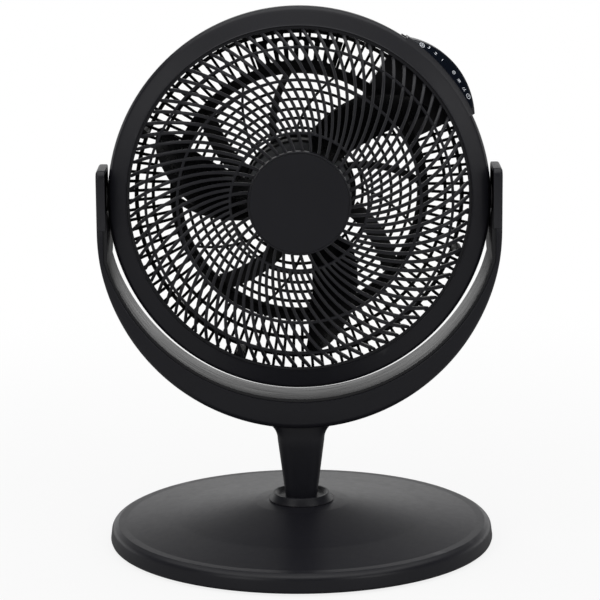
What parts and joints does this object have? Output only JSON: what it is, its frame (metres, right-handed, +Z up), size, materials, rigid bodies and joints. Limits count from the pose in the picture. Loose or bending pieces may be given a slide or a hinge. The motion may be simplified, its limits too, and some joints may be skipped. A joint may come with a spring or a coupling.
{
  "type": "air circulator fan",
  "caption": "Air circulator fan: drum head with spiral-ribbed grilles that tilts in a U-shaped yoke on a round weighted base, with a touch strip on the rim.",
  "frame": {"origin": "centre of the base on the table, under the feet", "axes": "+Z up, front of the fan towards -Y, tilt axis along X"},
  "size_m": [0.4008, 0.388, 0.5422],
  "materials": {
    "satin_plastic": "satin black, fine moulded texture",
    "inner_plastic": "matt black",
    "blade_plastic": "half gloss black",
    "gloss_panel": "high gloss blue-black with pale printed marks",
    "rubber": "matt black",
    "steel": "zinc plated",
    "cast_weight": "as cast"
  },
  "bodies": {
    "stand": {"base_cover": "satin_plastic", "base_plate": "inner_plastic", "base_weight": "cast_weight", "base_foot_1": "rubber", "base_foot_2": "rubber", "base_foot_3": "rubber", "base_foot_4": "rubber", "base_foot_5": "rubber", "base_foot_6": "rubber", "neck_collar": "satin_plastic", "neck_bolt": "steel", "neck_washer": "steel", "neck_nut": "steel", "yoke": "satin_plastic", "yoke_liner": "satin_plastic", "yoke_cap_left": "satin_plastic", "yoke_cap_right": "satin_plastic"},
    "head": {"front_bezel": "satin_plastic", "front_grille": "satin_plastic", "centre_cap": "satin_plastic", "rear_housing": "satin_plastic", "rear_grille": "inner_plastic", "rear_grip": "inner_plastic", "motor_carrier": "inner_plastic", "grille_post_1": "inner_plastic", "grille_post_2": "inner_plastic", "grille_post_3": "inner_plastic", "grille_post_4": "inner_plastic", "control_pod": "satin_plastic", "control_panel": "gloss_panel", "motor_can": "inner_plastic", "motor_plate": "steel", "motor_stator": "steel", "motor_bearing_front": "steel", "motor_bearing_rear": "steel", "pivot_bolt_left": "steel", "pivot_bolt_right": "steel", "pivot_washer_left": "rubber", "pivot_washer_right": "rubber"},
    "rotor": {"motor_shaft": "steel", "motor_rotor": "steel", "fan_blades": "blade_plastic", "blade_nut": "inner_plastic"}
  },
  "joints": [
    {"name": "head_tilt", "type": "hinge", "parent": "stand", "child": "head", "pos_m": [0, 0, 0.352], "axis": [-1, 0, 0], "range_deg": [-19, 86]},
    {"name": "rotor_spin", "type": "hinge", "parent": "head", "child": "rotor", "pos_m": [0, 0, 0.352], "axis": [0, -0.9976, 0.0698], "continuous": true}
  ]
}
